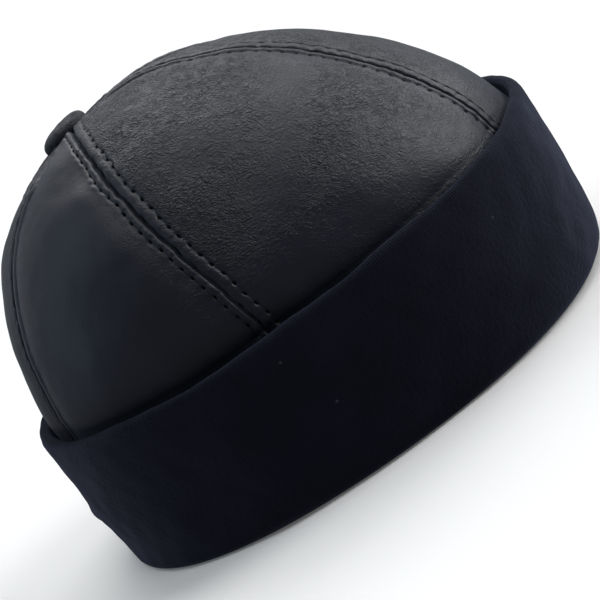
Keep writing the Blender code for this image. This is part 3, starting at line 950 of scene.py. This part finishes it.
def camera():
    e, az, ro = (math.radians(CAMERA[k]) for k in ("elevation", "azimuth", "roll"))
    back = Vector((-math.cos(az) * math.cos(e), -math.sin(az) * math.cos(e), math.sin(e)))
    right = (-back).cross(Vector((0, 0, 1))).normalized()
    up = right.cross(-back).normalized()
    r = right * math.cos(ro) + up * math.sin(ro)
    u = -right * math.sin(ro) + up * math.cos(ro)
    place = (Vector(CAMERA["aim"]) + back * CAMERA["distance"]) * MM
    data = bpy.data.cameras.new("camera")
    data.sensor_width = 36.0
    data.lens = CAMERA["focal_px"] * 36.0 / 600.0
    data.clip_start = 0.01
    obj = bpy.data.objects.new("camera", data)
    obj.matrix_world = Matrix(((r.x, u.x, back.x, place.x), (r.y, u.y, back.y, place.y),
                               (r.z, u.z, back.z, place.z), (0, 0, 0, 1)))
    bpy.context.scene.collection.objects.link(obj)
    bpy.context.scene.camera = obj
    return obj


# =========================================================================================
# build
# =========================================================================================
camera()

leather = leather_material("nappa")
leather_button = leather_material("nappa_button", (0.0030, 0.0044, 0.0105), 0.3, False, 0.27,
                                  (0.43, 0.38))
thread = thread_material()
knit = knit_material()

pieces = []
for node, start, end in PANELS:
    obj, *_ = gore(node, start, end)
    obj.data.materials.append(leather)
    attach(obj, "root")
    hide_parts(node)
    pieces.append(obj)

for name in SEAMS:
    # a gore's "start" seam is on its right-hand side, so the two rows differ in reach
    parts = []
    all_v, all_f, count = [], [], 0
    for side, end in ((1, "start"), (-1, "end")):
        v, f = stitches(name, side, STITCH_FROM_CREASE[end], ROW_STRENGTH.get((name, end), 1.0))
        all_v.append(v)
        all_f += [x + count for x in f]
        count += len(v)
    obj = new_object("topstitch_" + name, np.concatenate(all_v), all_f)
    obj.data.materials.append(thread)
    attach(obj, "root")
    pieces.append(obj)

band = cuff()
band.data.materials.append(knit)
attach(band, "root")
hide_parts("cuff")

top = button()
top.data.materials.append(leather_button)
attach(top, "root")
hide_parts("top_button")

# =========================================================================================
# stage
# =========================================================================================
bpy.ops.mesh.primitive_plane_add(size=40.0, location=(0, 0, -0.0002))
floor = bpy.context.object
floor.name = "floor"
floor.data.materials.append(floor_material())
floor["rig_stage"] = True
floor.visible_glossy = False

LIGHTS = (
    # name, direction it comes from (0 the wearer's right, 90 the brow), height (deg),
    # strength, colour
    ("above_near", 0, 72, 0.60, (1.0, 1.0, 1.0)),
    ("above_far", 135, 66, 0.62, (1.0, 1.0, 1.0)),
    ("far_side", 180, 48, 0.88, (1.0, 1.0, 1.0)),
    ("nape", 270, 48, 0.20, (0.66, 0.88, 1.0)),
    ("brow", 85, 34, 1.18, (1.0, 1.0, 1.0)),
    ("brow_right", 86, 12, 0.54, (1.0, 1.0, 1.0)),
    ("brow_low", 112, 10, 0.34, (1.0, 1.0, 1.0)),
    ("brow_far", 135, 26, 0.61, (1.0, 1.0, 1.0)),
    ("far_low", 180, 22, 0.08, (1.0, 1.0, 1.0)),
    ("nape_low", 270, 20, 0.15, (0.60, 0.85, 1.0)),
    ("nape_far", 225, 20, 0.05, (1.0, 1.0, 1.0)),
)
for label, azimuth, height, strength, colour in LIGHTS:
    lamp = bpy.data.lights.new(label, "SUN")
    lamp.energy = strength
    lamp.color = colour
    lamp.angle = math.radians(34)
    lamp_obj = bpy.data.objects.new(label, lamp)
    a, e = math.radians(azimuth), math.radians(height)
    beam = Vector((math.cos(a) * math.cos(e), math.sin(a) * math.cos(e), -math.sin(e)))
    lamp_obj.rotation_euler = beam.to_track_quat("-Z", "Y").to_euler()
    bpy.context.scene.collection.objects.link(lamp_obj)

world = bpy.data.worlds.new("world")
world.use_nodes = True
world.node_tree.nodes["Background"].inputs["Color"].default_value = (0.95, 0.97, 1.0, 1)
world.node_tree.nodes["Background"].inputs["Strength"].default_value = 0.11
bpy.context.scene.world = world
bpy.context.scene.view_settings.view_transform = "Standard"
bpy.context.scene.view_settings.look = "None"

tris = {o.name: sum(len(p.vertices) - 2 for p in o.data.polygons)
        for o in bpy.data.objects if o.type == "MESH" and "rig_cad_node" not in o and not o.get("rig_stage")}
print("triangles", sum(tris.values()), tris)
